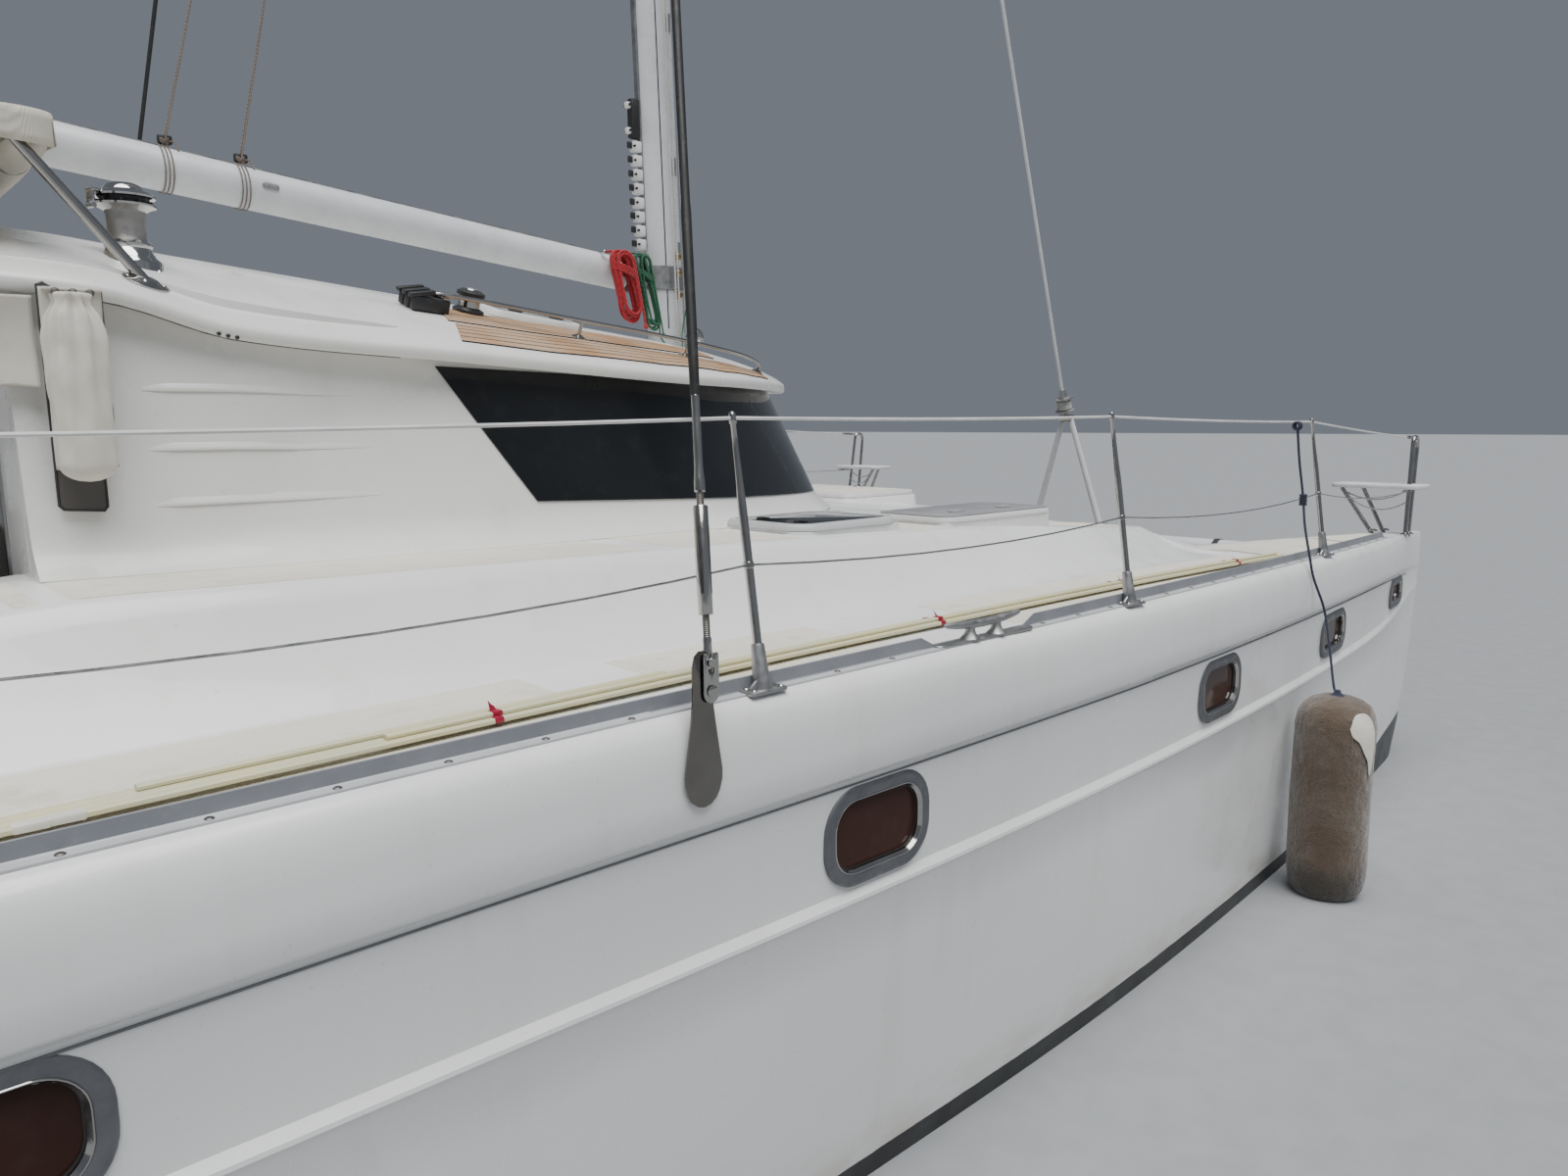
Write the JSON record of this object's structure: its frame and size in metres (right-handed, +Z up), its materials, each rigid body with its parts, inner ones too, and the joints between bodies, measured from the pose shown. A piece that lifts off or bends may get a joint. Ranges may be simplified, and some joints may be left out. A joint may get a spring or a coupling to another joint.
{
  "type": "sailing catamaran",
  "caption": "Sailing catamaran with twin hulls, a bridging cabin with dark wraparound windows, mast, boom, rails, net and steering",
  "frame": {"origin": "on the waterline, on the centreline, amidships", "axes": "+X forward to the bows, +Y to port, +Z up"},
  "size_m": [11.66, 5.962, 17.37],
  "materials": {
    "gelcoat": "glossy white gelcoat, slightly chalked and marked by run-off",
    "deck": "cream non-skid deck in fine grain between smooth borders",
    "tinted_glass": "dark tinted acrylic, almost opaque from outside",
    "stainless": "polished stainless steel",
    "alloy": "satin anodised aluminium and grey castings",
    "spar": "light grey-white painted tube",
    "antifouling": "matt black bottom paint",
    "bronze": "bronze, dulled",
    "engine_paint": "grey engine paint, semi-matt",
    "canvas": "cream woven canvas",
    "cushion": "grey-beige woven cushion cloth",
    "rope_red": "red braided rope",
    "rope_green": "green braided rope",
    "batten": "pale cream glass-fibre battens",
    "fender_cover": "brown fleece cover, worn through in places",
    "net": "pale grey knotless net"
  },
  "bodies": {
    "platform": {"hull_starboard": "gelcoat", "hull_port": "gelcoat", "bridgedeck": "gelcoat", "foredeck": "deck", "engine_starboard": "engine_paint", "engine_port": "engine_paint", "keel_starboard": "antifouling", "keel_port": "antifouling", "drive_starboard": "engine_paint", "drive_port": "engine_paint", "cabin_walls": "gelcoat", "window_starboard": "tinted_glass", "window_port": "tinted_glass", "window_front": "tinted_glass", "window_aft": "tinted_glass", "roof": "gelcoat", "mast": "spar", "gooseneck": "stainless", "shroud_starboard": "stainless", "shroud_port": "stainless", "forward_beam": "alloy", "forestay": "stainless", "trampoline": "net", "toe_rail_starboard": "alloy", "toe_rail_port": "alloy", "bow_rail_starboard": "stainless", "bow_rail_port": "stainless", "stern_rail_starboard": "stainless", "stern_rail_port": "stainless", "aft_bulkhead": "gelcoat", "helm_console": "gelcoat", "helm_seat": "gelcoat", "cockpit_seat": "gelcoat", "aft_bench": "gelcoat", "cockpit_table": "gelcoat", "saloon_settee": "cushion", "bimini_frame": "stainless", "bimini_canopy": "canvas", "winch_starboard": "stainless", "winch_port": "stainless", "curtain_roll": "canvas", "fender": "fender_cover", "sail_battens": "batten"},
    "boom": {"boom": "spar", "rope_coil_red": "rope_red", "rope_coil_green": "rope_green"},
    "rudder_starboard": {"rudder_starboard": "antifouling"},
    "rudder_port": {"rudder_port": "antifouling"},
    "wheel": {"wheel": "stainless"},
    "propeller_starboard": {"propeller_starboard": "bronze"},
    "propeller_port": {"propeller_port": "bronze"},
    "saloon_door": {"saloon_door": "tinted_glass"},
    "hatch_starboard": {"hatch_starboard": "tinted_glass"},
    "hatch_port": {"hatch_port": "tinted_glass"},
    "locker_lid_starboard": {"locker_lid_starboard": "alloy"},
    "locker_lid_port": {"locker_lid_port": "alloy"},
    "anchor_locker_lid": {"anchor_locker_lid": "deck"},
    "engine_lid_starboard": {"engine_lid_starboard": "deck"},
    "engine_lid_port": {"engine_lid_port": "deck"}
  },
  "joints": [
    {"name": "boom_swing", "type": "hinge", "parent": "platform", "child": "boom", "pos_m": [1.455, 0, 2.872], "axis": [-0.0262, 0, 0.9997], "range_deg": [-50, 50]},
    {"name": "rudder_starboard_turn", "type": "hinge", "parent": "platform", "child": "rudder_starboard", "pos_m": [-4.9, -2.27, -0.6], "axis": [0, 0, 1], "range_deg": [-35, 35]},
    {"name": "rudder_port_turn", "type": "hinge", "parent": "platform", "child": "rudder_port", "pos_m": [-4.9, 2.27, -0.6], "axis": [0, 0, 1], "range_deg": [-35, 35]},
    {"name": "wheel_turn", "type": "hinge", "parent": "platform", "child": "wheel", "pos_m": [-2.035, -1.11, 1.59], "axis": [1, 0, 0], "range_deg": [-350, 350]},
    {"name": "propeller_starboard_spin", "type": "hinge", "parent": "platform", "child": "propeller_starboard", "pos_m": [-3.935, -2.27, -0.7], "axis": [1, 0, 0], "continuous": true},
    {"name": "propeller_port_spin", "type": "hinge", "parent": "platform", "child": "propeller_port", "pos_m": [-3.935, 2.27, -0.7], "axis": [1, 0, 0], "continuous": true},
    {"name": "saloon_door_slide", "type": "slide", "parent": "platform", "child": "saloon_door", "axis": [0, 1, 0], "range_m": [0, 0.74]},
    {"name": "hatch_starboard_open", "type": "hinge", "parent": "platform", "child": "hatch_starboard", "pos_m": [1.21, -1.75, 1.80171], "axis": [0, 1, 0], "range_deg": [0, 100]},
    {"name": "hatch_port_open", "type": "hinge", "parent": "platform", "child": "hatch_port", "pos_m": [1.21, 1.75, 1.80171], "axis": [0, 1, 0], "range_deg": [0, 100]},
    {"name": "locker_lid_starboard_open", "type": "hinge", "parent": "platform", "child": "locker_lid_starboard", "pos_m": [2.28, -1.75, 1.772], "axis": [0, 1, 0], "range_deg": [0, 100]},
    {"name": "locker_lid_port_open", "type": "hinge", "parent": "platform", "child": "locker_lid_port", "pos_m": [2.28, 1.75, 1.772], "axis": [0, 1, 0], "range_deg": [0, 100]},
    {"name": "engine_lid_starboard_open", "type": "hinge", "parent": "platform", "child": "engine_lid_starboard", "pos_m": [-3.58, -2.26, 1.52383], "axis": [0, 1, 0], "range_deg": [0, 100]},
    {"name": "engine_lid_port_open", "type": "hinge", "parent": "platform", "child": "engine_lid_port", "pos_m": [-3.58, 2.26, 1.52383], "axis": [0, 1, 0], "range_deg": [0, 100]},
    {"name": "anchor_locker_lid_open", "type": "hinge", "parent": "platform", "child": "anchor_locker_lid", "pos_m": [2.52, 0, 1.746], "axis": [0, -1, 0], "range_deg": [0, 100]}
  ],
  "couplings": [
    {"joint": "rudder_port_turn", "follows": "rudder_starboard_turn", "ratio": 1},
    {"joint": "wheel_turn", "follows": "rudder_starboard_turn", "ratio": 10}
  ]
}
